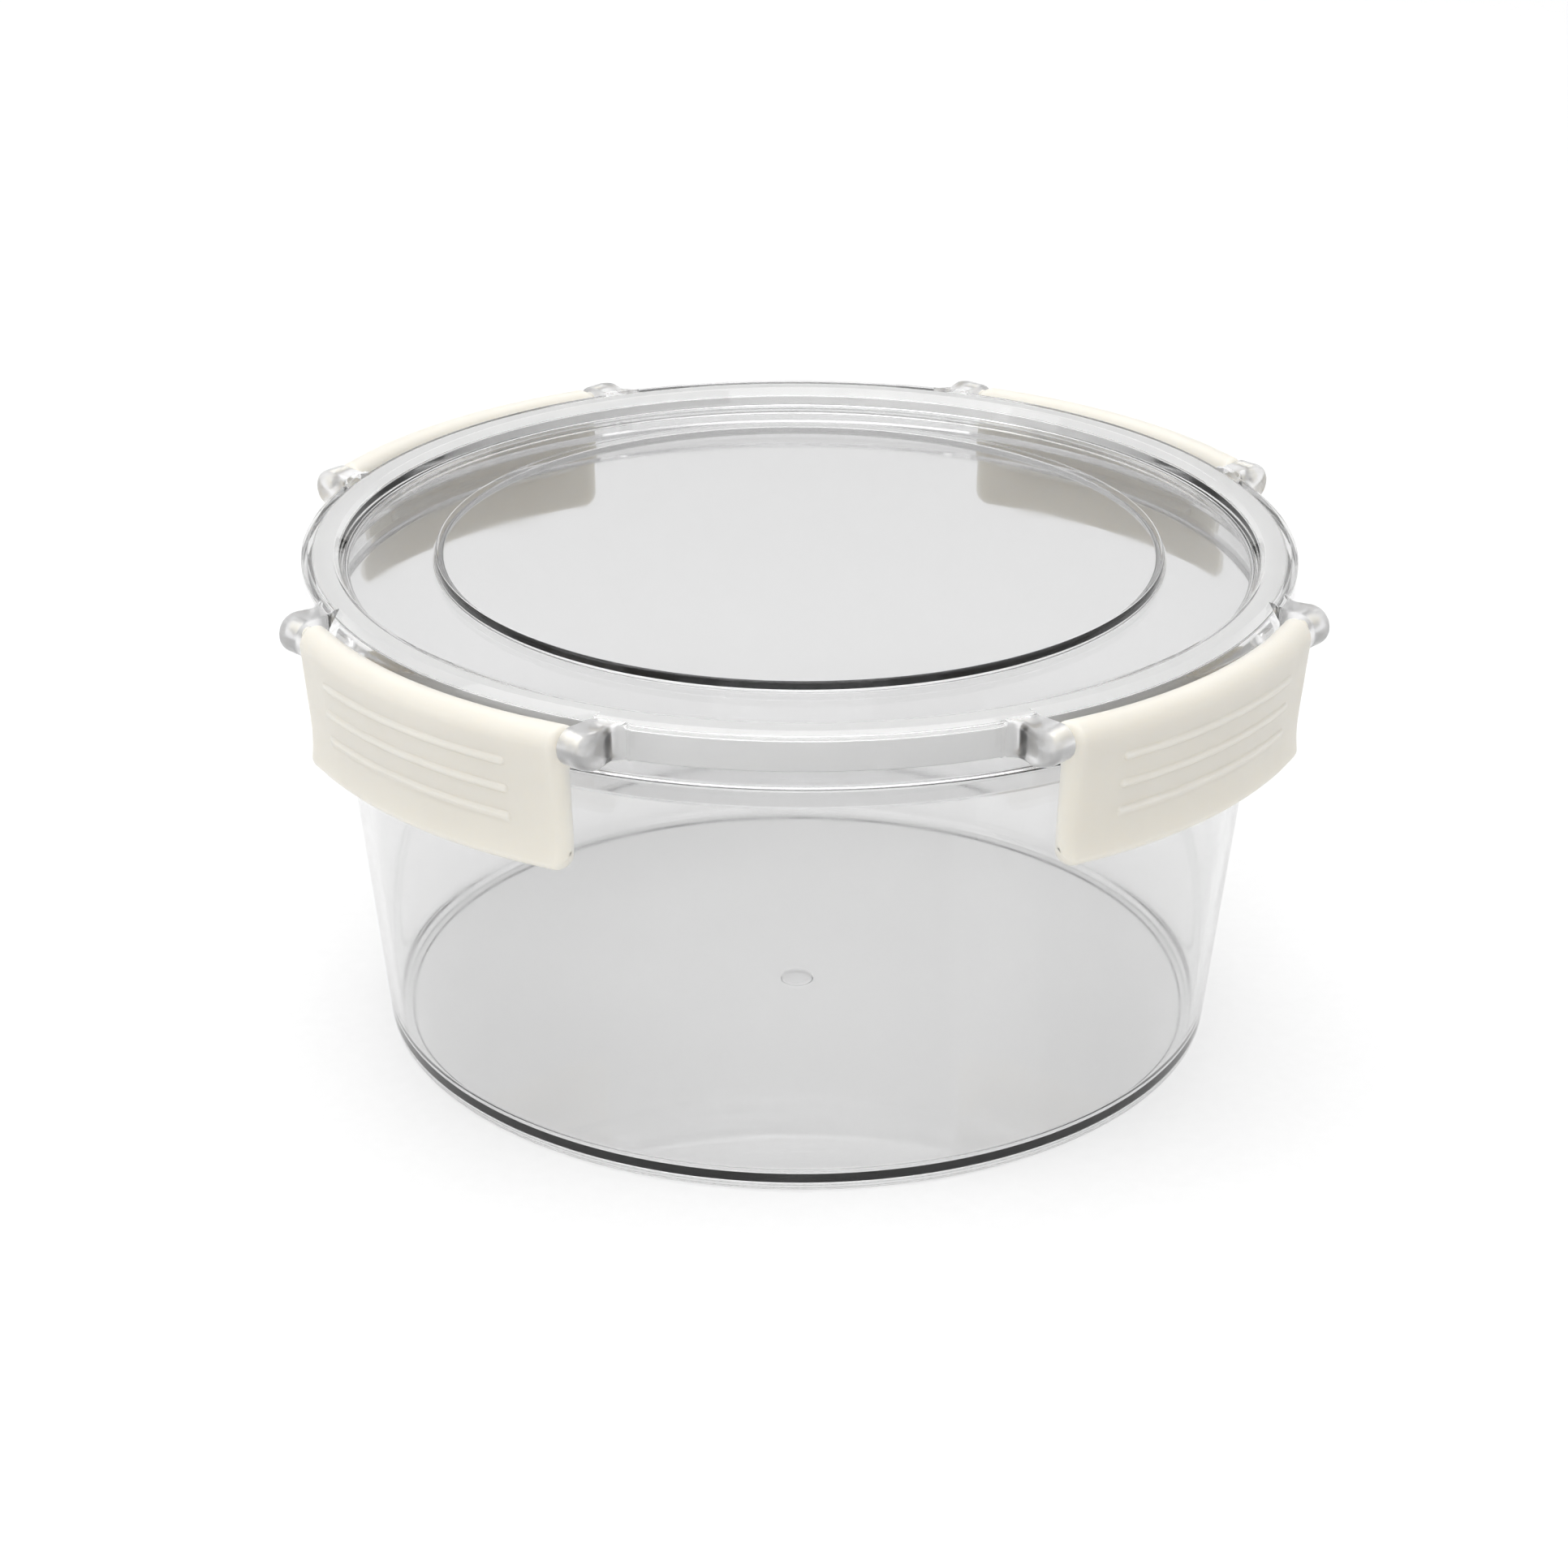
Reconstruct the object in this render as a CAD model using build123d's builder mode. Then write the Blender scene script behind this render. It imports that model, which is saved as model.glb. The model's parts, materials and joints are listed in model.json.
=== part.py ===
from build123d import *
import os
from math import cos, radians, sin, sqrt

# Round clear food canister: a tapered bowl, a recessed lid with a seal ring in its rim,
# and four hinged latches that hook under the bowl's flange.
# Millimetres. The origin is the centre of the foot ring, +Z is up and -Y is the front.
# Most pieces are turned sections, drawn on the XZ plane as (radius, height).

# Bowl
base_radius = 81.5  # outer wall, carried down to the resting plane
wall_lean = 0.1066  # outward lean of the wall, mm per mm of height
wall = 2.0
floor_top = 2.8
floor_thickness = 2.0
foot_inner_radius = 77.6
foot_corner = 1.6
inside_corner = 2.4
gate_mark_radius = 3.15
gate_mark_depth = 0.3
flange_radius = 94.2
flange_bottom = 82.4
flange_top = 86.5
flange_bevel = 1.0
neck_outer_radius = 91.8
neck_top = 91.2
neck_rounding = 0.6

# Lid
lid_radius = 95.0
lid_top = 97.4
rim_inner_radius = 88.8  # inner edge of the flat top ring
rim_flat_radius = 93.7  # outer edge of the flat top ring
rim_edge_drop = 0.8
recess_radius = 86.6  # foot of the slope inside the rim
lid_skirt = 2.0
skirt_bottom = 86.8
panel_top = 94.3
panel_thickness = 2.0
disc_radius = 69.75
disc_rise = 1.9
channel_top = 95.4
channel_inner_radius = 88.6
channel_wall_bottom = 90.6

# Seal ring
seal_clearance = 0.25
seal_touch_gap = 0.05  # the seal is drawn uncompressed, just clear of the neck
seal_lip_bottom = 89.6
seal_lip = 0.7

# Behind each latch the rim's edge is bevelled, so that the latch's rolled top can turn past it
bevel_width = 2.5
bevel_drop = 3.3

# Latches and the ears that carry them
latch_angles = {
    "front_left_latch": -135,
    "front_right_latch": -45,
    "back_right_latch": 45,
    "back_left_latch": 135,
}
hinge_reach = 93.6  # straight hinge line, measured from the lid's axis
hinge_height = 94.6
latch_half_width = 33.8
latch_bottom = 69.5
barrel_reach = 99.2  # centre of the rounded top roll
barrel_height = 93.6
barrel_radius = 3.2
waist_reach = 100.5
waist_height = 75.5
lip_reach = 101.0
plate_thickness = 2.4
corner_rounding = 4.0
rib_heights = (89.2, 83.8, 78.4)
rib_half_width = 24.2
rib_radius = 0.7
rib_stand = 0.45
hook_tip_radius = 92.3
hook_top = 82.0
hook_tip_height = 1.0
hook_root_bottom = 77.4
hook_half_width = 25.0
pin_radius = 1.4
pin_bore_radius = 1.46
pin_root = 30.0
pin_tip = 37.8
pin_bore_end = 38.2
ear_inner_face = 34.2
ear_radius = 3.5
ear_reach = 93.2  # centre of the ear's round nose
ear_height = 93.6
ear_far_angle = 24.0  # where the ear's far side meets the rim, off the latch's centre line
ear_far_reach = 41.2  # the far side's distance from the centre line at the nose
ear_crook_radius = 96.4
ear_flare_angle = 1.6
ear_corner = 2.8
ear_sink_radius = 93.9  # how far the ear's root reaches into the rim
edge_soft = 0.5


def wall_radius(height):
    """Outer radius of the bowl's wall at a height."""
    return base_radius + wall_lean * height


def corner(sketch, radius, height):
    """The section's corner nearest to a point given as (radius, height)."""
    return sketch.vertices().sort_by_distance((radius, height, 0))[0]


# Bowl: floor, leaning wall, flange for the latches and a neck that presses on the seal
with BuildPart() as bowl:
    with BuildSketch(Plane.XZ) as bowl_section:
        with BuildLine():
            floor_under = floor_top - floor_thickness
            mark_top = floor_under + gate_mark_depth
            Polyline(
                (0, mark_top),
                (gate_mark_radius, mark_top),
                (gate_mark_radius, floor_under),
                (foot_inner_radius, floor_under),
                (foot_inner_radius, 0),
                (base_radius, 0),
                (wall_radius(flange_bottom), flange_bottom),
                (flange_radius - flange_bevel, flange_bottom),
                (flange_radius, flange_bottom + flange_bevel),
                (flange_radius, flange_top),
                (neck_outer_radius, flange_top),
                (neck_outer_radius, neck_top),
                (wall_radius(neck_top) - wall, neck_top),
                (wall_radius(floor_top) - wall, floor_top),
                (0, floor_top),
                close=True,
            )
        make_face()
        fillet(corner(bowl_section, base_radius, 0), foot_corner)
        fillet(corner(bowl_section, wall_radius(floor_top) - wall, floor_top), inside_corner)
        fillet(corner(bowl_section, wall_radius(neck_top) - wall, neck_top), neck_rounding)
        fillet(corner(bowl_section, neck_outer_radius, neck_top), neck_rounding)
        fillet(corner(bowl_section, flange_radius, flange_top), edge_soft)
    revolve(axis=Axis.Z)
bowl.part.label = "bowl"

# One pair of ears, for a latch centred on +X: round-nosed lugs with a blind bore each.
# They are cut from a bar that follows the hinge line by the plan outline between two radii.
with BuildPart() as ears:
    for side in (-1, 1):
        with BuildSketch(Plane.XZ.offset(side * ear_inner_face)):
            with Locations((ear_reach, ear_height)):
                Circle(ear_radius)
            with Locations((ear_reach - ear_radius * 2, ear_height)):
                Rectangle(ear_radius * 4, ear_radius * 2)
        extrude(amount=side * ear_radius * 3)
    with BuildSketch() as ear_plan:
        for side in (-1, 1):
            far = side * radians(ear_far_angle)
            flare = side * radians(ear_far_angle + ear_flare_angle)
            root_x = sqrt(ear_sink_radius**2 - ear_inner_face**2)
            nose = (ear_reach + ear_radius, side * ear_far_reach)
            crook = (ear_crook_radius * cos(far), ear_crook_radius * sin(far))
            with BuildLine():
                Polyline(
                    (root_x, side * ear_inner_face),
                    (nose[0], side * ear_inner_face),
                    nose,
                    crook,
                    (lid_radius * cos(flare), lid_radius * sin(flare)),
                    (ear_sink_radius * cos(flare), ear_sink_radius * sin(flare)),
                    close=True,
                )
            make_face()
            fillet(corner(ear_plan, *nose), ear_corner)
            fillet(corner(ear_plan, *crook), ear_corner)
    extrude(amount=lid_top, mode=Mode.INTERSECT)
    for side in (-1, 1):
        with BuildSketch(Plane.XZ.offset(side * ear_inner_face)):
            with Locations((hinge_reach, hinge_height)):
                Circle(pin_bore_radius)
        extrude(amount=side * (pin_bore_end - ear_inner_face), mode=Mode.SUBTRACT)

# The bevel's cutter, for a latch centred on +X: a ring of triangular section between the ears
with BuildPart() as rim_bevel:
    with BuildSketch(Plane.XZ):
        with BuildLine():
            slope = bevel_drop / bevel_width
            Polyline(
                (lid_radius + 1, lid_top - bevel_drop - slope),
                (lid_radius + 1, lid_top + slope),
                (lid_radius - bevel_width - 1, lid_top + slope),
                close=True,
            )
        make_face()
    revolve(axis=Axis.Z)
    with Locations((lid_radius, 0, lid_top)):
        Box(lid_radius, ear_inner_face * 2, lid_radius, mode=Mode.INTERSECT)

# Lid: raised disc, recessed panel, flat-topped rim with a channel inside, and four pairs of ears
with BuildPart() as lid:
    with BuildSketch(Plane.XZ) as lid_section:
        with BuildLine():
            panel_under = panel_top - panel_thickness
            Polyline(
                (0, panel_top + disc_rise),
                (disc_radius, panel_top + disc_rise),
                (disc_radius, panel_top),
                (recess_radius, panel_top),
                (rim_inner_radius, lid_top),
                (rim_flat_radius, lid_top),
                (lid_radius, lid_top - rim_edge_drop),
                (lid_radius, skirt_bottom),
                (lid_radius - lid_skirt, skirt_bottom),
                (lid_radius - lid_skirt, channel_top),
                (channel_inner_radius, channel_top),
                (channel_inner_radius, channel_wall_bottom),
                (recess_radius, channel_wall_bottom),
                (recess_radius, panel_under),
                (disc_radius - panel_thickness, panel_under),
                (disc_radius - panel_thickness, panel_under + disc_rise),
                (0, panel_under + disc_rise),
                close=True,
            )
        make_face()
        fillet(corner(lid_section, disc_radius, panel_top + disc_rise), edge_soft)
        fillet(corner(lid_section, disc_radius, panel_top), edge_soft)
        fillet(corner(lid_section, recess_radius, panel_top), edge_soft * 2)
        fillet(corner(lid_section, rim_inner_radius, lid_top), edge_soft)
        fillet(corner(lid_section, lid_radius, lid_top - rim_edge_drop), edge_soft)
        fillet(corner(lid_section, lid_radius, skirt_bottom), edge_soft)
    revolve(axis=Axis.Z)
    for angle in latch_angles.values():
        add(rim_bevel.part.rotate(Axis.Z, angle), mode=Mode.SUBTRACT)
        add(ears.part.rotate(Axis.Z, angle))
lid.part.label = "lid"

# Seal ring: fills the top of the lid's channel, with a thin lip outside the bowl's neck
with BuildPart() as gasket:
    with BuildSketch(Plane.XZ) as gasket_section:
        with BuildLine():
            seal_inner = channel_inner_radius + seal_clearance
            seal_outer = lid_radius - lid_skirt - seal_clearance
            seal_bottom = neck_top + seal_touch_gap
            Polyline(
                (seal_inner, channel_top),
                (seal_outer, channel_top),
                (seal_outer, seal_lip_bottom),
                (seal_outer - seal_lip, seal_lip_bottom),
                (seal_outer - seal_lip, seal_bottom),
                (seal_inner, seal_bottom),
                close=True,
            )
        make_face()
    revolve(axis=Axis.Z)
gasket.part.label = "gasket"

# Latch, centred on +X: a curved plate with a rolled top, cut to a rounded outline
with BuildPart() as latch:
    with BuildSketch(Plane.XZ) as latch_section:
        with BuildLine():
            roll_outer = (barrel_reach + barrel_radius, barrel_height)
            roll_top = (barrel_reach, barrel_height + barrel_radius)
            roll_inner = (barrel_reach - barrel_radius, barrel_height)
            waist = (waist_reach, waist_height)
            lip = (lip_reach, latch_bottom + edge_soft * 2)
            lip_under = (lip_reach - edge_soft * 2, latch_bottom)
            inner_foot = (waist_reach - plate_thickness, latch_bottom)
            inner_waist = (waist_reach - plate_thickness, waist_height)
            inner_shoulder = (barrel_reach - edge_soft, barrel_height - barrel_radius * 1.5)
            ThreePointArc(roll_inner, roll_top, roll_outer)
            Line(roll_outer, waist)
            Line(waist, lip)
            Line(lip, lip_under)
            Line(lip_under, inner_foot)
            Line(inner_foot, inner_waist)
            Line(inner_waist, inner_shoulder)
            Line(inner_shoulder, roll_inner)
        make_face()
    revolve(axis=Axis.Z)
    with BuildSketch(Plane.YZ.offset(ear_reach - ear_radius * 4)) as latch_outline:
        with BuildLine():
            roof = barrel_height + barrel_radius + 1
            Polyline(
                (-latch_half_width, roof),
                (-latch_half_width, latch_bottom),
                (latch_half_width, latch_bottom),
                (latch_half_width, roof),
                close=True,
            )
        make_face()
        fillet(latch_outline.vertices().group_by(Axis.Y)[0], corner_rounding)
    extrude(amount=ear_radius * 8, mode=Mode.INTERSECT)

# Hook along the inside of the plate, and the grip ribs outside it, both cut from full rings.
# The cutting boxes only bound the width: along X and Z they are larger than the ring's section.
with BuildPart() as hook:
    with BuildSketch(Plane.XZ) as hook_section:
        with BuildLine():
            plate_middle = waist_reach - plate_thickness / 2
            Polyline(
                (plate_middle, hook_top),
                (hook_tip_radius, hook_top),
                (hook_tip_radius, hook_top - hook_tip_height),
                (plate_middle, hook_root_bottom),
                close=True,
            )
        make_face()
    revolve(axis=Axis.Z)
    with Locations((ear_reach, 0, hook_top)):
        Box(ear_radius * 8, hook_half_width * 2, ear_radius * 4, mode=Mode.INTERSECT)

with BuildPart() as ribs:
    with BuildSketch(Plane.XZ):
        for height in rib_heights:
            share = (height - waist_height) / (barrel_height - waist_height)
            face = waist_reach + share * (barrel_reach + barrel_radius - waist_reach)
            with Locations((face + rib_stand - rib_radius, height)):
                Circle(rib_radius)
    revolve(axis=Axis.Z)
    with Locations((lip_reach, 0, rib_heights[1])):
        Box(ear_radius * 8, rib_half_width * 2, ear_radius * 8, mode=Mode.INTERSECT)

with BuildPart() as whole_latch:
    add(latch.part)
    add(hook.part)
    add(ribs.part)
    for side in (-1, 1):
        with BuildSketch(Plane.XZ.offset(side * pin_root)):
            with Locations((hinge_reach, hinge_height)):
                Circle(pin_radius)
        extrude(amount=side * (pin_tip - pin_root))

os.makedirs("parts", exist_ok=True)
export_step(bowl.part, "parts/bowl.step")
export_step(lid.part, "parts/lid.step")
export_step(gasket.part, "parts/gasket.step")
for name, angle in latch_angles.items():
    placed_latch = whole_latch.part.rotate(Axis.Z, angle)
    placed_latch.label = name
    export_step(placed_latch, f"parts/{name}.step")
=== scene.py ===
import json
from math import atan2, ceil, cos, degrees, hypot, pi, radians, sin, sqrt, tan

import bmesh
import bpy
from mathutils import Matrix, Vector

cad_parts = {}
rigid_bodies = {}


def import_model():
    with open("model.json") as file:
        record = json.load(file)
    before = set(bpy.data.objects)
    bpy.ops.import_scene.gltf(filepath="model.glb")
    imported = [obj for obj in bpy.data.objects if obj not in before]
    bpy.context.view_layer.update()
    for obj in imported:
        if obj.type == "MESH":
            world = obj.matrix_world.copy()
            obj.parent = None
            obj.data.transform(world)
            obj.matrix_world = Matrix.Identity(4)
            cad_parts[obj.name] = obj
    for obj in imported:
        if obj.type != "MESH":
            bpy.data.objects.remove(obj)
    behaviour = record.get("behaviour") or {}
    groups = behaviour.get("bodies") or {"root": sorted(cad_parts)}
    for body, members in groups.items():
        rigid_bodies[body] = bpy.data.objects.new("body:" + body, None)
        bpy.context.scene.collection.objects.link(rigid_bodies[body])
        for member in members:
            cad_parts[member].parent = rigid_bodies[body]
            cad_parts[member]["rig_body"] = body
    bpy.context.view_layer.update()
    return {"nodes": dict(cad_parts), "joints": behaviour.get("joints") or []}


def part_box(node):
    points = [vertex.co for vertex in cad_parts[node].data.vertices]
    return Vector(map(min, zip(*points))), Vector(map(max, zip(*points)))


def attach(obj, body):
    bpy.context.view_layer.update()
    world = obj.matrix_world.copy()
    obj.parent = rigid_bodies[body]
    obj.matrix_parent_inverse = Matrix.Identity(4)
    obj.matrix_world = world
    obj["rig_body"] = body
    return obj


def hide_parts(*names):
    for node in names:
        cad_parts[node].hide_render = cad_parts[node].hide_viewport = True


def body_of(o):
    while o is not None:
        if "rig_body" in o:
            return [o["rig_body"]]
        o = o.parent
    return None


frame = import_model()

# Round clear food canister. Sizes are in millimetres here and become metres when a mesh is made.
# The outer sizes come from the frame, and the wall thicknesses and small edges are named values.
# Outlines are lists of corners (radius, height, rounding), and radius is measured from the axis.
MM = 0.001


def box_mm(node):
    """Lowest and highest corner of a CAD node, in millimetres."""
    low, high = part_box(node)
    return low / MM, high / MM


bowl_high = box_mm("bowl")[1]
lid_low, lid_high = box_mm("lid")
seal_low, seal_high = box_mm("gasket")

# Bowl
wall_lean = 0.1066
wall = 2.0
base_radius = 81.5
floor_top = 2.8
floor_under = 0.8
foot_inner_radius = 77.6
gate_mark_radius = 3.15
gate_mark_depth = 0.3
flange_radius = bowl_high.x
flange_bottom = 82.4
flange_top = 86.5
flange_bevel = 1.0
neck_outer_radius = 91.8
neck_top = bowl_high.z

# Seal
seal_inner_radius = 88.85
seal_lip = 0.7
seal_touch_gap = 0.05
seal_press = 0.05
seal_edge = 0.3

# Lid
lid_radius = 95.0
lid_top = lid_high.z
skirt_bottom = lid_low.z
skirt = 2.0
rim_inner_radius = 88.8
rim_flat_radius = 93.7
rim_edge_drop = 0.8
recess_radius = 86.6
panel_top = 94.3
panel_under = 92.3
disc_radius = 69.75
disc_rise = 1.9
disc_wall = 1.1
channel_top = seal_high.z
channel_inner_radius = 88.6
channel_wall_bottom = 90.6
bevel_width = 2.5
bevel_drop = 3.3

# Ears, in the plan of a latch: outward reach and distance from the latch's centre line
ear_inner_face = 34.2
ear_radius = 3.5
ear_reach = 93.2
ear_height = 93.6
ear_far_angle = 24.0
ear_far_reach = 41.2
ear_crook_radius = 96.4
ear_flare_angle = 1.6
ear_corner = 2.8
ear_sink_radius = 93.9
ear_far_softness = 1.3
ear_near_softness = 0.35
bore_radius = 1.46
bore_end = 38.2

# Latches
latch_half_width = 33.8
roll_reach = 99.2
roll_height = 93.6
roll_radius = 3.2
waist_reach = 100.5
waist_height = 75.5
waist_blend = 3.4
waist_slack = 0.38
lip_reach = 101.0
plate = 2.4
outline_corner = 2.6
end_softness = 1.2
end_reach = 2.0
outer_end_share = 1.6
inner_end_share = 0.35
roof_corner = 1.8
rib_heights = (89.2, 83.8, 78.4)
rib_half_width = 24.2
rib_radius = 1.1
rib_stand = 0.42
below_ribs = 1.4
hook_tip_radius = 92.3
hook_top = 82.0
hook_tip_height = 1.0
hook_root_bottom = 77.4
hook_half_width = 25.0
pin_radius = 1.4
pin_root = 30.0
pin_tip = 37.8

segments = 360


# Outlines


def arc(centre, radius, start, end, steps):
    """Points on an arc from one angle to another, in degrees."""
    angles = [radians(start + (end - start) * step / steps) for step in range(steps + 1)]
    return [(centre[0] + radius * cos(a), centre[1] + radius * sin(a)) for a in angles]


def rounded(corners, closed=False, steps=8, support=0.12):
    """Outline through corners (x, y, rounding), with an arc at each rounded one.

    A support point on either side of an arc keeps the shading of the flats true.
    """
    outline = []
    for index, (x, y, rounding) in enumerate(corners):
        inner = closed or 0 < index < len(corners) - 1
        if not inner or not rounding:
            outline.append((x, y))
            continue
        here = Vector((x, y))
        before = Vector(corners[index - 1][:2]) - here
        after = Vector(corners[(index + 1) % len(corners)][:2]) - here
        half = before.angle(after) / 2
        reach = rounding / tan(half)
        centre = here + (before.normalized() + after.normalized()).normalized() * rounding / sin(half)
        start = here + before.normalized() * reach - centre
        turn = (pi - 2 * half) * (1 if before.cross(after) < 0 else -1)
        outline.append(tuple(here + before.normalized() * (reach + support)))
        for step in range(steps + 1):
            outline.append(tuple(centre + Matrix.Rotation(turn * step / steps, 2) @ start))
        outline.append(tuple(here + after.normalized() * (reach + support)))
    return outline


# Meshes


def made_object(name, mesh, sharp_angle=38):
    """A smooth-shaded object from a bmesh in millimetres."""
    bmesh.ops.recalc_face_normals(mesh, faces=mesh.faces)
    data = bpy.data.meshes.new(name)
    mesh.to_mesh(data)
    mesh.free()
    data.transform(Matrix.Scale(MM, 4))
    smooth_shade(data, sharp_angle)
    piece = bpy.data.objects.new(name, data)
    bpy.context.scene.collection.objects.link(piece)
    return piece


def smooth_shade(data, sharp_angle):
    data.polygons.foreach_set("use_smooth", [True] * len(data.polygons))
    data.set_sharp_from_angle(angle=radians(sharp_angle))
    data.update()


def bridge(mesh, first, second):
    """Quads between two rings of the same length, or triangles to a ring of one point."""
    count = max(len(first), len(second))
    for index in range(count):
        following = (index + 1) % count
        corners = [first[index % len(first)], first[following % len(first)]]
        corners += [second[following % len(second)], second[index % len(second)]]
        distinct = list(dict.fromkeys(corners))
        mesh.faces.new(distinct)


def turned(name, outline, closed=False):
    """A solid of revolution. An open outline starts and ends on the axis."""
    mesh = bmesh.new()
    rings = []
    for radius, height in outline:
        count = segments if radius > 0 else 1
        turn = 2 * pi / count
        ring = [(radius * cos(i * turn), radius * sin(i * turn), height) for i in range(count)]
        rings.append([mesh.verts.new(point) for point in ring])
    pairs = list(zip(rings, rings[1:]))
    if closed:
        pairs.append((rings[-1], rings[0]))
    for first, second in pairs:
        bridge(mesh, first, second)
    return made_object(name, mesh)


def lofted(name, rings, sharp_angle=38):
    """A closed solid through rings of 3-D points, capped at both ends."""
    mesh = bmesh.new()
    placed = [[mesh.verts.new(point) for point in ring] for ring in rings]
    for first, second in zip(placed, placed[1:]):
        bridge(mesh, first, second)
    mesh.faces.new(placed[0])
    mesh.faces.new(placed[-1])
    return made_object(name, mesh, sharp_angle)


def curved_round_axis(outline, offset):
    """Ring of points of a turned outline, where a plane at that distance from the axis cuts it."""
    return [(sqrt(radius * radius - offset * offset), offset, height) for radius, height in outline]


def cut_or_join(piece, tool, operation, sharp_angle=38):
    """Boolean of two objects. The tool is used up."""
    modifier = piece.modifiers.new("boolean", "BOOLEAN")
    modifier.operation = operation
    modifier.solver = "EXACT"
    modifier.object = tool
    evaluated = piece.evaluated_get(bpy.context.evaluated_depsgraph_get())
    result = bpy.data.meshes.new_from_object(evaluated)
    piece.modifiers.clear()
    used = [piece.data, tool.data]
    piece.data = result
    bpy.data.objects.remove(tool)
    for data in used:
        bpy.data.meshes.remove(data)
    smooth_shade(result, sharp_angle)
    return piece


def joined_copies(name, source, angles):
    """One object with a copy of the source turned to each angle. The source is used up."""
    mesh = bmesh.new()
    for angle in angles:
        start = len(mesh.verts)
        mesh.from_mesh(source.data)
        mesh.verts.ensure_lookup_table()
        bmesh.ops.rotate(mesh, verts=mesh.verts[start:], matrix=Matrix.Rotation(angle, 3, "Z"))
    data = bpy.data.meshes.new(name)
    mesh.to_mesh(data)
    mesh.free()
    copies = bpy.data.objects.new(name, data)
    bpy.context.scene.collection.objects.link(copies)
    used = source.data
    bpy.data.objects.remove(source)
    bpy.data.meshes.remove(used)
    return copies


# Latches' places, from the hinges in the record

hinges = {joint["child"]: joint for joint in frame["joints"] if joint["type"] == "hinge"}
latch_angles = {name: atan2(h["pos_m"][1], h["pos_m"][0]) for name, h in hinges.items()}
any_hinge = next(iter(hinges.values()))["pos_m"]
hinge_reach = hypot(any_hinge[0], any_hinge[1]) / MM
hinge_height = any_hinge[2] / MM
latch_bottom = box_mm(next(iter(hinges)))[0].z


# Bowl and seal


def make_bowl():
    """Floor with a foot ring and a gate mark, leaning wall, flange and neck."""
    mark_top = floor_under + gate_mark_depth
    corners = [
        (0, mark_top, 0),
        (gate_mark_radius, mark_top, 0.15),
        (gate_mark_radius, floor_under, 0.1),
        (foot_inner_radius, floor_under, 0.4),
        (foot_inner_radius, 0, 0.3),
        (base_radius, 0, 1.6),
        (base_radius + wall_lean * flange_bottom, flange_bottom, 0.5),
        (flange_radius - flange_bevel, flange_bottom, 0.25),
        (flange_radius, flange_bottom + flange_bevel, 0.25),
        (flange_radius, flange_top, 0.5),
        (neck_outer_radius, flange_top, 0.3),
        (neck_outer_radius, neck_top, 0.6),
        (base_radius + wall_lean * neck_top - wall, neck_top, 0.6),
        (base_radius + wall_lean * floor_top - wall, floor_top, 2.4),
        (0, floor_top, 0),
    ]
    return turned("bowl_clear", rounded(corners))


def make_seal():
    """Silicone ring, pressed into the channel's top, with a thin lip outside the bowl's neck."""
    outer = seal_high.x + seal_press
    lip_inner = outer - seal_lip
    sole = neck_top + seal_touch_gap
    crest = seal_high.z + seal_press
    places = [
        (seal_inner_radius, crest),
        (outer, crest),
        (outer, seal_low.z),
        (lip_inner, seal_low.z),
        (lip_inner, sole),
        (seal_inner_radius, sole),
    ]
    corners = [(radius, height, seal_edge) for radius, height in places]
    return turned("seal_ring", rounded(corners, closed=True, steps=5, support=0.04), closed=True)


# Lid


def make_lid():
    """Turned lid with a bevel on its rim behind each latch and eight ears with pin bores."""
    corners = [
        (0, panel_top + disc_rise, 0),
        (disc_radius, panel_top + disc_rise, 0.5),
        (disc_radius, panel_top, 0.5),
        (recess_radius, panel_top, 1.0),
        (rim_inner_radius, lid_top, 0.5),
        (rim_flat_radius, lid_top, 0.25),
        (lid_radius, lid_top - rim_edge_drop, 0.5),
        (lid_radius, skirt_bottom, 0.5),
        (lid_radius - skirt, skirt_bottom, 0.2),
        (lid_radius - skirt, channel_top, 0.2),
        (channel_inner_radius, channel_top, 0.2),
        (channel_inner_radius, channel_wall_bottom, 0.3),
        (recess_radius, channel_wall_bottom, 0.3),
        (recess_radius, panel_under, 0.3),
        (disc_radius - disc_wall, panel_under, 0.6),
        (disc_radius - disc_wall, panel_under + disc_rise, 0.6),
        (0, panel_under + disc_rise, 0),
    ]
    lid = turned("lid_clear", rounded(corners))
    angles = list(latch_angles.values())
    cut_or_join(lid, joined_copies("bevels", rim_bevel_cutter(), angles), "DIFFERENCE")
    for side in (-1, 1):
        cut_or_join(lid, joined_copies("ears", make_ear(side), angles), "UNION")
        cut_or_join(lid, joined_copies("bores", pin_bore(side), angles), "DIFFERENCE")
    return lid


def rim_bevel_cutter():
    """Triangular ring that stands outside the rim between the ears of a latch on +X."""
    past = 1
    rise = past * bevel_drop / bevel_width
    triangle = [
        (lid_radius + past, lid_top - bevel_drop - rise),
        (lid_radius + past, lid_top + rise),
        (lid_radius - bevel_width - past, lid_top + rise),
    ]
    count = 48
    offsets = [ear_inner_face * (2 * i / count - 1) for i in range(count + 1)]
    return lofted("bevel", [curved_round_axis(triangle, offset) for offset in offsets])


def edge_inset(place, edge, softness):
    """How far a quarter-round edge of that radius has moved in, at a place short of the edge."""
    past = max(place - edge + softness, 0)
    return softness - sqrt(max(softness**2 - past**2, 0))


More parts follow.
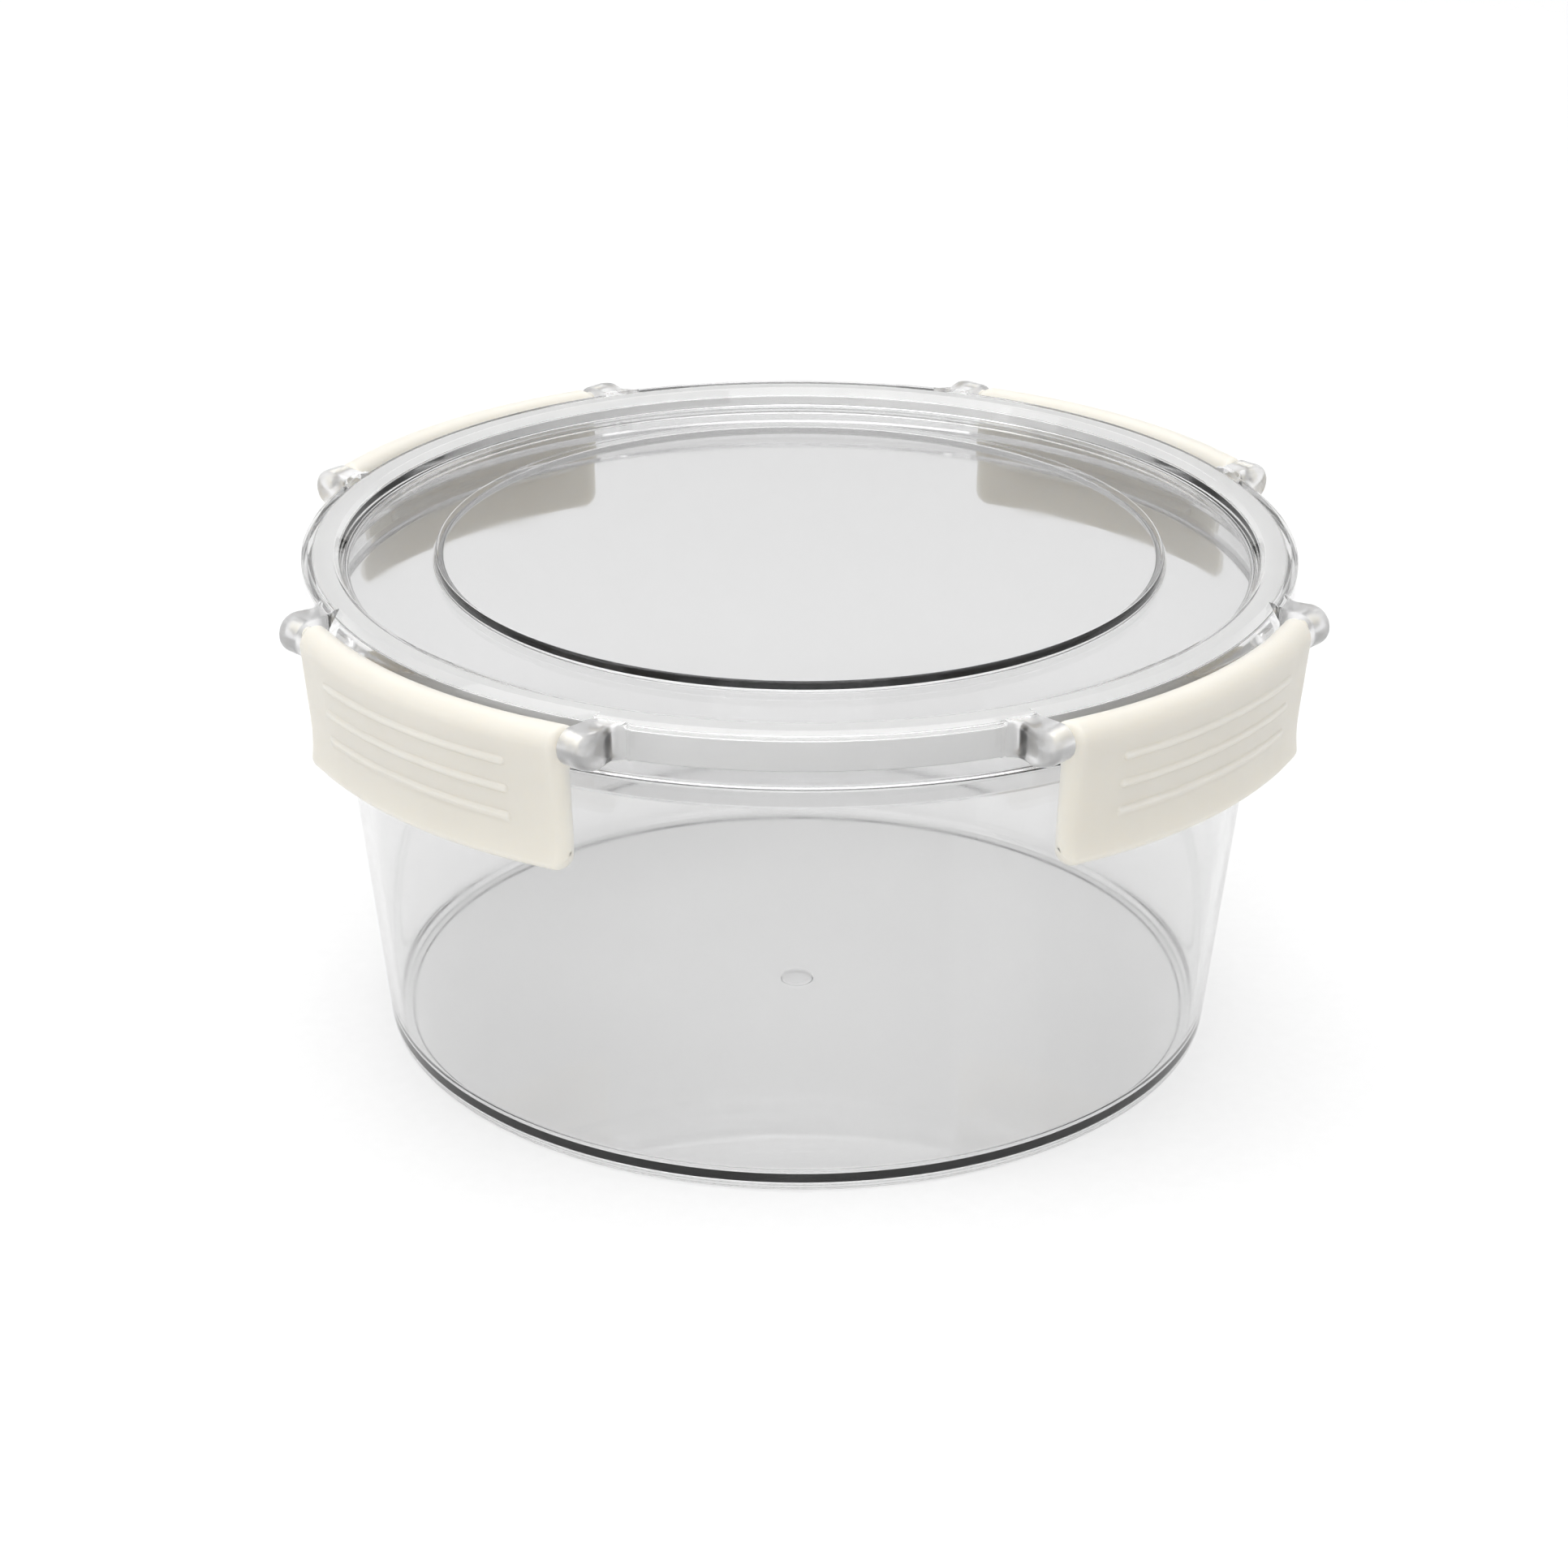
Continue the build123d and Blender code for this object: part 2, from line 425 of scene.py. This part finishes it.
def ear_outline(side, drop):
    """Plan of an ear at a height that lies that far above or below its middle."""
    nose = ear_reach + sqrt(max(ear_radius**2 - drop**2, 0))
    far_inset = edge_inset(drop, ear_radius, ear_far_softness)
    near_inset = edge_inset(drop, ear_radius, ear_near_softness)
    far = radians(ear_far_angle)
    flare = radians(ear_far_angle + ear_flare_angle)
    root_reach = sqrt(ear_sink_radius**2 - ear_inner_face**2)
    corners = [
        (root_reach, ear_inner_face + near_inset, 0),
        (nose, ear_inner_face + near_inset, ear_near_softness),
        (nose, ear_far_reach - far_inset, ear_corner - far_inset),
        (ear_crook_radius * cos(far), ear_crook_radius * sin(far) - far_inset, ear_corner),
        (lid_radius * cos(flare), lid_radius * sin(flare) - far_inset, 0),
        (ear_sink_radius * cos(flare), ear_sink_radius * sin(flare) - far_inset, 0),
    ]
    outline = rounded(corners, closed=True, steps=10, support=0.02)
    return [(reach, side * offset) for reach, offset in outline]


def make_ear(side):
    """Round-nosed ear for a latch on +X, built as a stack of plans from bottom to top."""
    steps = 28
    rings = []
    for step in range(steps + 1):
        drop = -ear_radius * cos(pi * step / steps)
        height = ear_height + drop
        rings.append([(x, y, height) for x, y in ear_outline(side, abs(drop))])
    return lofted("ear", rings)


def tangent_rod(name, radius, start, end, softness):
    """Rod along the hinge line of a latch on +X, with a soft edge at its end."""
    way = 1 if end > start else -1
    count = 48
    edge_steps = 4
    stations = [(start, radius), (end - way * softness, radius)]
    for step in range(1, edge_steps + 1):
        swing = pi / 2 * step / edge_steps
        at = end - way * softness * (1 - sin(swing))
        stations.append((at, radius - softness * (1 - cos(swing))))
    rings = []
    for along, wide in stations:
        circle = arc((hinge_reach, hinge_height), wide, 0, 360, count)[:-1]
        rings.append([(reach, along, height) for reach, height in circle])
    return lofted(name, rings)


def pin_bore(side):
    return tangent_rod("bore", bore_radius, side * (ear_inner_face - 1), side * bore_end, 0.2)


# Latches


def latch_section():
    """Closed section of a latch's plate, from the back of its rolled top over the top and down."""
    lean = atan2(roll_reach + roll_radius - waist_reach, roll_height - waist_height)
    roll = arc((roll_reach, roll_height), roll_radius, 172, -degrees(lean), 30)
    face_top = roll[-1]
    face = []
    spacing = 0.12
    drop = face_top[1] - waist_height
    for step in range(1, ceil((drop - waist_blend) / spacing)):
        fall = step * spacing
        lean_in = (waist_reach - face_top[0]) * fall / drop
        face.append((face_top[0] + lean_in, face_top[1] - fall))
    corners = [
        (waist_reach + waist_slack, waist_height + waist_blend, 0),
        (waist_reach, waist_height, 28),
        (lip_reach, latch_bottom + 1, 1.3),
        (lip_reach - 1, latch_bottom, 1.2),
        (waist_reach - plate, latch_bottom, 1.15),
        (waist_reach - plate, waist_height, 20),
        (roll_reach - 0.5, roll_height - roll_radius * 1.5, 2.0),
        (roll_reach - roll_radius, roll_height, 0),
    ]
    return roll + face + rounded(corners, steps=10, support=0.1)[1:-1]


def inward_normals(outline):
    """Unit normals that point into a closed outline which runs clockwise."""
    normals = []
    for index in range(len(outline)):
        before = Vector(outline[index - 1])
        after = Vector(outline[(index + 1) % len(outline)])
        along = (after - before).normalized()
        normals.append(Vector((along.y, -along.x)))
    return normals


def rib_bump(offset, height):
    """How far a latch's face stands out at a point because of its ribs."""
    past_end = max(abs(offset) - rib_half_width + rib_radius, 0)
    nearest = min(abs(height - rib) for rib in rib_heights)
    away = hypot(nearest, past_end)
    if away >= rib_radius:
        return 0
    return max(sqrt(rib_radius**2 - away**2) - rib_radius + rib_stand, 0)


def eased(edge, reach, count):
    """Places over the last stretch before an edge, closer together towards it, without the edge."""
    return [edge - reach * (1 - sin(pi / 2 * step / count)) for step in range(count)]


def latch_stations():
    """Distances from the centre line of a latch's sections, closer together at its details."""
    middle_steps = 12
    rib_end_spacing = 0.12
    half = [rib_half_width * step / middle_steps for step in range(middle_steps)]
    half += [rib_half_width + rib_end_spacing * step for step in range(-9, 2)]
    half += eased(latch_half_width, outline_corner, 15)
    half += eased(latch_half_width, end_reach, 12)
    half.append(latch_half_width)
    half = sorted({round(offset, 3) for offset in half})
    return [-offset for offset in reversed(half[1:])] + half


def latch_ring(section, normals, offset):
    """The latch's section at a distance from its centre line, with its ribs and soft ends.

    Towards an end the lower edge lifts, the roof sinks, and the outer side curves in most.
    """
    lift = edge_inset(abs(offset), latch_half_width, outline_corner)
    sink = edge_inset(abs(offset), latch_half_width, roof_corner)
    inset = edge_inset(abs(offset), latch_half_width, end_reach) * end_softness / end_reach
    middle_share = (outer_end_share + inner_end_share) / 2
    side_share = (outer_end_share - inner_end_share) / 2
    pivot = rib_heights[-1] - below_ribs
    squeeze = 1 - lift / (pivot - latch_bottom)
    roof_foot = roll_height - roll_radius
    roof_squeeze = 1 - sink / (2 * roll_radius)
    points = []
    for (reach, height), normal in zip(section, normals):
        on_face = normal.x < -0.9
        stand = rib_bump(offset, height) if on_face else 0
        sweep = inset * (middle_share - side_share * normal.x)
        reach += normal.x * (sweep - stand)
        height += normal.y * sweep
        if height < pivot:
            height = pivot - (pivot - height) * squeeze
        if height > roof_foot:
            height = roof_foot + (height - roof_foot) * roof_squeeze
        points.append((reach, height))
    return curved_round_axis(points, offset)


def make_latch_plate():
    section = latch_section()
    normals = inward_normals(section)
    return lofted("latch_plate", [latch_ring(section, normals, offset) for offset in latch_stations()])


def make_hook():
    """Ledge inside the latch that catches under the bowl's flange."""
    root = waist_reach - plate / 2
    corners = [
        (root, hook_top, 0),
        (hook_tip_radius, hook_top, 0.35),
        (hook_tip_radius, hook_top - hook_tip_height, 0.35),
        (root, hook_root_bottom, 0),
    ]
    section = rounded(corners, closed=True, steps=5, support=0.05)
    count = 40
    offsets = [hook_half_width * (2 * i / count - 1) for i in range(count + 1)]
    return lofted("hook", [curved_round_axis(section, offset) for offset in offsets])


def make_latch(name):
    """One latch on +X, then turned to its place."""
    latch = make_latch_plate()
    cut_or_join(latch, make_hook(), "UNION")
    for side in (-1, 1):
        pin = tangent_rod("pin", pin_radius, side * pin_root, side * pin_tip, 0.25)
        cut_or_join(latch, pin, "UNION")
    latch.name = name + "_moulding"
    latch.data.name = latch.name
    latch.data.transform(Matrix.Rotation(latch_angles[name], 4, "Z"))
    return latch


# Materials


class Shader:
    """A material with one Principled surface, and short calls to add procedural detail to it."""

    def __init__(self, name):
        self.material = bpy.data.materials.new(name)
        self.material.use_nodes = True
        self.tree = self.material.node_tree
        self.tree.nodes.clear()
        self.output = self.node("OutputMaterial")
        self.surface = self.node("BsdfPrincipled")
        self.link(self.surface.outputs["BSDF"], self.output.inputs["Surface"])
        self.place = self.node("TexCoord").outputs["Object"]

    def node(self, kind):
        return self.tree.nodes.new("ShaderNode" + kind)

    def link(self, start, end):
        self.tree.links.new(start, end)

    def set(self, **sockets):
        for label, value in sockets.items():
            self.surface.inputs[label.replace("_", " ")].default_value = value

    def noise(self, size, detail=2.0):
        """Noise whose blotches are about that many millimetres across."""
        noise = self.node("TexNoise")
        noise.inputs["Scale"].default_value = 1 / (size * MM)
        noise.inputs["Detail"].default_value = detail
        self.link(self.place, noise.inputs["Vector"])
        return noise.outputs["Fac"]

    def ranged(self, source, low, high, start=0.3, end=0.7):
        """The source's values between start and end, spread from low to high."""
        spread = self.node("MapRange")
        spread.inputs["From Min"].default_value = start
        spread.inputs["From Max"].default_value = end
        spread.inputs["To Min"].default_value = low
        spread.inputs["To Max"].default_value = high
        self.link(source, spread.inputs["Value"])
        return spread.outputs["Result"]

    def distance_from_axis(self):
        """Distance from the canister's axis, in metres."""
        flat = self.node("VectorMath")
        flat.operation = "MULTIPLY"
        flat.inputs[1].default_value = (1, 1, 0)
        self.link(self.place, flat.inputs[0])
        length = self.node("VectorMath")
        length.operation = "LENGTH"
        self.link(flat.outputs["Vector"], length.inputs[0])
        return length.outputs["Value"]

    def sum(self, first, second):
        total = self.node("Math")
        self.link(first, total.inputs[0])
        self.link(second, total.inputs[1])
        return total.outputs["Value"]

    def let_lamps_through(self, colour):
        """Light from the lamps and the room reaches what is behind the surface, tinted."""
        passing = self.node("BsdfTransparent")
        passing.inputs["Color"].default_value = (*colour, 1)
        mix = self.node("MixShader")
        self.link(self.node("LightPath").outputs["Is Shadow Ray"], mix.inputs["Fac"])
        self.link(self.surface.outputs["BSDF"], mix.inputs[1])
        self.link(passing.outputs["BSDF"], mix.inputs[2])
        self.link(mix.outputs["Shader"], self.output.inputs["Surface"])

    def mixed_colour(self, factor, first, second):
        mix = self.node("Mix")
        mix.data_type = "RGBA"
        mix.inputs["A"].default_value = (*first, 1)
        mix.inputs["B"].default_value = (*second, 1)
        self.link(factor, mix.inputs["Factor"])
        return mix.outputs["Result"]

    def bump(self, source, height, strength=1.0, under=None):
        """Surface relief that many millimetres high."""
        bump = self.node("Bump")
        bump.inputs["Distance"].default_value = height * MM
        bump.inputs["Strength"].default_value = strength
        self.link(source, bump.inputs["Height"])
        if under:
            self.link(under, bump.inputs["Normal"])
        return bump.outputs["Normal"]


def clear_plastic(name, colour, frosted, depth):
    """Polished clear moulding: faint grey tint, flow waviness, and handling marks in the gloss.

    frosted is the range of radii, in millimetres, where the mould left a matt skin, and depth is
    how strongly thick material darkens.
    """
    shader = Shader(name)
    shader.set(Base_Color=(*colour, 1), IOR=1.5, Transmission_Weight=1.0)
    gloss = shader.ranged(shader.noise(14, 4), 0.012, 0.06)
    radius = shader.distance_from_axis()
    matt = shader.ranged(radius, 0, 0.28, frosted[0] * MM, frosted[1] * MM)
    shader.link(shader.sum(gloss, matt), shader.surface.inputs["Roughness"])
    waviness = shader.bump(shader.noise(22, 1), 0.012)
    shader.link(waviness, shader.surface.inputs["Normal"])
    inside = shader.node("VolumeAbsorption")
    inside.inputs["Color"].default_value = (0.47, 0.47, 0.475, 1)
    inside.inputs["Density"].default_value = depth
    shader.link(inside.outputs["Volume"], shader.output.inputs["Volume"])
    shader.let_lamps_through((0.995, 0.995, 0.995))
    return shader.material


def silicone(name):
    """Milky translucent seal with a fine satin skin."""
    shader = Shader(name)
    shader.set(IOR=1.41, Transmission_Weight=0.3, Roughness=0.45)
    cloudiness = shader.mixed_colour(shader.noise(9, 3), (0.72, 0.72, 0.72), (0.78, 0.78, 0.77))
    shader.link(cloudiness, shader.surface.inputs["Base Color"])
    skin = shader.bump(shader.noise(0.4, 3), 0.02)
    shader.link(skin, shader.surface.inputs["Normal"])
    return shader.material


def moulded_plastic(name):
    """Warm white latch plastic: spark-eroded satin grain, slow colour drift and handled gloss."""
    shader = Shader(name)
    shader.set(IOR=1.49, Subsurface_Weight=0.8, Subsurface_Scale=0.006)
    shader.set(Subsurface_Radius=(1.0, 0.9, 0.75))
    drift = shader.mixed_colour(shader.noise(18, 3), (0.58, 0.56, 0.51), (0.62, 0.602, 0.553))
    shader.link(drift, shader.surface.inputs["Base Color"])
    shader.link(shader.ranged(shader.noise(7, 5), 0.34, 0.5), shader.surface.inputs["Roughness"])
    grain = shader.bump(shader.noise(0.35, 2), 0.012)
    softness = shader.bump(shader.noise(6, 1), 0.02, under=grain)
    shader.link(softness, shader.surface.inputs["Normal"])
    return shader.material


def paper_floor(name):
    """Plain pale studio paper with a barely visible tooth."""
    shader = Shader(name)
    shader.set(Roughness=0.9, Emission_Color=(1, 1, 1, 1), Emission_Strength=0.11)
    fibres = shader.mixed_colour(shader.noise(3, 6), (0.66, 0.66, 0.66), (0.69, 0.69, 0.69))
    shader.link(fibres, shader.surface.inputs["Base Color"])
    shader.link(shader.bump(shader.noise(0.8, 4), 0.02), shader.surface.inputs["Normal"])
    return shader.material


def finish_piece(piece, material, node):
    """Gives a piece its material and puts it in the frame in place of its CAD node."""
    piece.data.materials.clear()
    piece.data.materials.append(material)
    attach(piece, body_of(frame["nodes"][node])[0])
    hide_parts(node)


# Studio


def make_floor():
    """Floor just under the foot ring, so that the clear ring meets air and not the paper."""
    half = 1600
    air_gap = 0.05
    mesh = bmesh.new()
    bmesh.ops.create_grid(mesh, x_segments=24, y_segments=24, size=half)
    bmesh.ops.translate(mesh, verts=mesh.verts, vec=(0, 0, -air_gap))
    floor = made_object("studio_floor", mesh)
    floor.data.materials.append(paper_floor("studio_paper"))


def softbox(name, place, aim, width, height, power):
    """Rectangular area light at a place in millimetres, turned to face a point."""
    data = bpy.data.lights.new(name, "AREA")
    data.shape = "RECTANGLE"
    data.size = width * MM
    data.size_y = height * MM
    data.energy = power
    light = bpy.data.objects.new(name, data)
    light.location = Vector(place) * MM
    light.rotation_mode = "QUATERNION"
    light.rotation_quaternion = (Vector(aim) - Vector(place)).to_track_quat("-Z", "Y")
    light.visible_camera = False
    bpy.context.scene.collection.objects.link(light)


def make_lights():
    middle = (0, 0, 50)
    softbox("overhead_softbox", (-150, -250, 1500), middle, 1600, 1500, 15)
    softbox("left_softbox", (-1300, -500, 800), middle, 700, 1100, 3)
    softbox("front_softbox", (0, -1600, 700), middle, 1500, 800, 5)
    softbox("back_softbox", (0, 1150, 1250), middle, 1600, 600, 5)


def make_world():
    """Pale room: white to a little above the horizon, then greyer, and white overhead."""
    world = bpy.data.worlds.new("studio")
    world.use_nodes = True
    tree = world.node_tree
    background = tree.nodes["Background"]
    direction = tree.nodes.new("ShaderNodeTexCoord")
    parts = tree.nodes.new("ShaderNodeSeparateXYZ")
    ramp = tree.nodes.new("ShaderNodeValToRGB")
    tree.links.new(direction.outputs["Generated"], parts.inputs["Vector"])
    tree.links.new(parts.outputs["Z"], ramp.inputs["Fac"])
    tree.links.new(ramp.outputs["Color"], background.inputs["Color"])
    ramp.color_ramp.elements[0].position = 0.17
    ramp.color_ramp.elements[0].color = (1, 1, 1, 1)
    ramp.color_ramp.elements[1].position = 0.75
    ramp.color_ramp.elements[1].color = (1, 1, 1, 1)
    for rise, grey in ((0.28, 0.45), (0.48, 0.5)):
        ramp.color_ramp.elements.new(rise).color = (grey, grey, grey, 1)
    background.inputs["Strength"].default_value = 1.0
    bpy.context.scene.world = world


def make_camera():
    """Camera above the lid and in front, looking down at the canister."""
    stand_off = 668.3
    height = 349.5
    swing = radians(-1.9)
    heading = radians(1.66)
    pitch = radians(24.51)
    roll = radians(0.22)
    data = bpy.data.cameras.new("camera")
    data.sensor_width = 36
    data.lens = 85.35
    data.clip_start = 0.01
    data.clip_end = 50
    camera = bpy.data.objects.new("camera", data)
    place = Vector((stand_off * sin(swing), -stand_off * cos(swing), height))
    turn = Matrix.Rotation(-heading, 4, "Z") @ Matrix.Rotation(pi / 2 - pitch, 4, "X")
    camera.matrix_world = Matrix.Translation(place * MM) @ turn @ Matrix.Rotation(roll, 4, "Z")
    bpy.context.scene.collection.objects.link(camera)
    bpy.context.scene.camera = camera


def make_look():
    """Plain colours on screen, and enough light bounces to see through several clear walls."""
    scene = bpy.context.scene
    scene.view_settings.view_transform = "Standard"
    scene.cycles.max_bounces = 28
    scene.cycles.transmission_bounces = 28
    scene.cycles.glossy_bounces = 12
    scene.cycles.diffuse_bounces = 6
    scene.cycles.sample_clamp_indirect = 6


make_floor()
make_lights()
make_world()
make_camera()
make_look()

gate_skin = (gate_mark_radius, gate_mark_radius - 0.2)
ear_skin = (lid_radius, lid_radius + 0.4)
bowl_material = clear_plastic("bowl_clear_plastic", (0.92, 0.92, 0.92), gate_skin, 40)
lid_material = clear_plastic("lid_clear_plastic", (0.92, 0.92, 0.922), ear_skin, 8)
finish_piece(make_bowl(), bowl_material, "bowl")
finish_piece(make_lid(), lid_material, "lid")
finish_piece(make_seal(), silicone("seal_silicone"), "gasket")
latch_material = moulded_plastic("latch_white_plastic")
for latch_name in latch_angles:
    finish_piece(make_latch(latch_name), latch_material, latch_name)
